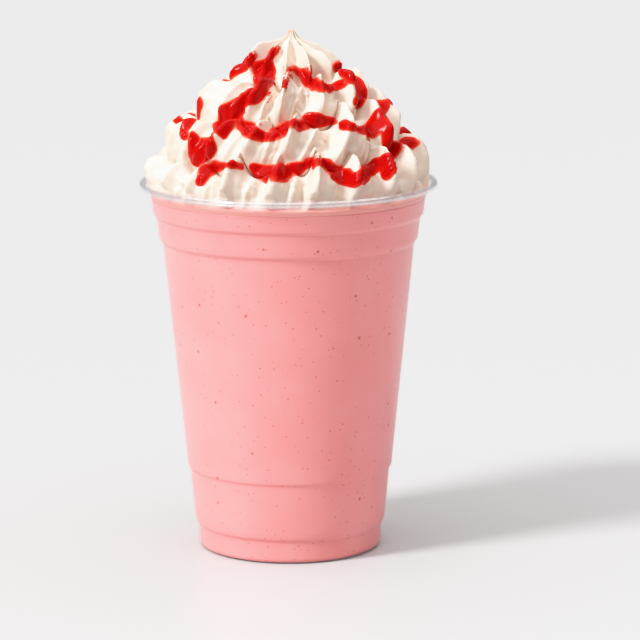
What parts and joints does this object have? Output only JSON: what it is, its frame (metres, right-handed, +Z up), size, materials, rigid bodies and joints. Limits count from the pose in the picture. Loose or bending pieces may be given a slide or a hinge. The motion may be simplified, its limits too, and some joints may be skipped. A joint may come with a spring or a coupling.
{
  "type": "milkshake in a clear plastic cup",
  "caption": "Tapered clear takeaway cup full of pink milkshake, topped with a piped spiral of whipped cream and runs of thick red fruit sauce",
  "frame": {"origin": "the middle of the cup's foot, on the surface it stands on", "axes": "+Z up along the cup's own axis; -Y is the side that the picture shows"},
  "size_m": [0.098, 0.098, 0.1719],
  "materials": {
    "clear_plastic": "clear and glossy",
    "strawberry_shake": "wet, smooth and opaque, with fine dark red specks of fruit",
    "whipped_cream": "soft satin",
    "strawberry_sauce": "wet and glossy"
  },
  "bodies": {
    "root": {"cup": "clear_plastic", "milkshake": "strawberry_shake", "whipped_cream": "whipped_cream"}
  },
  "joints": []
}
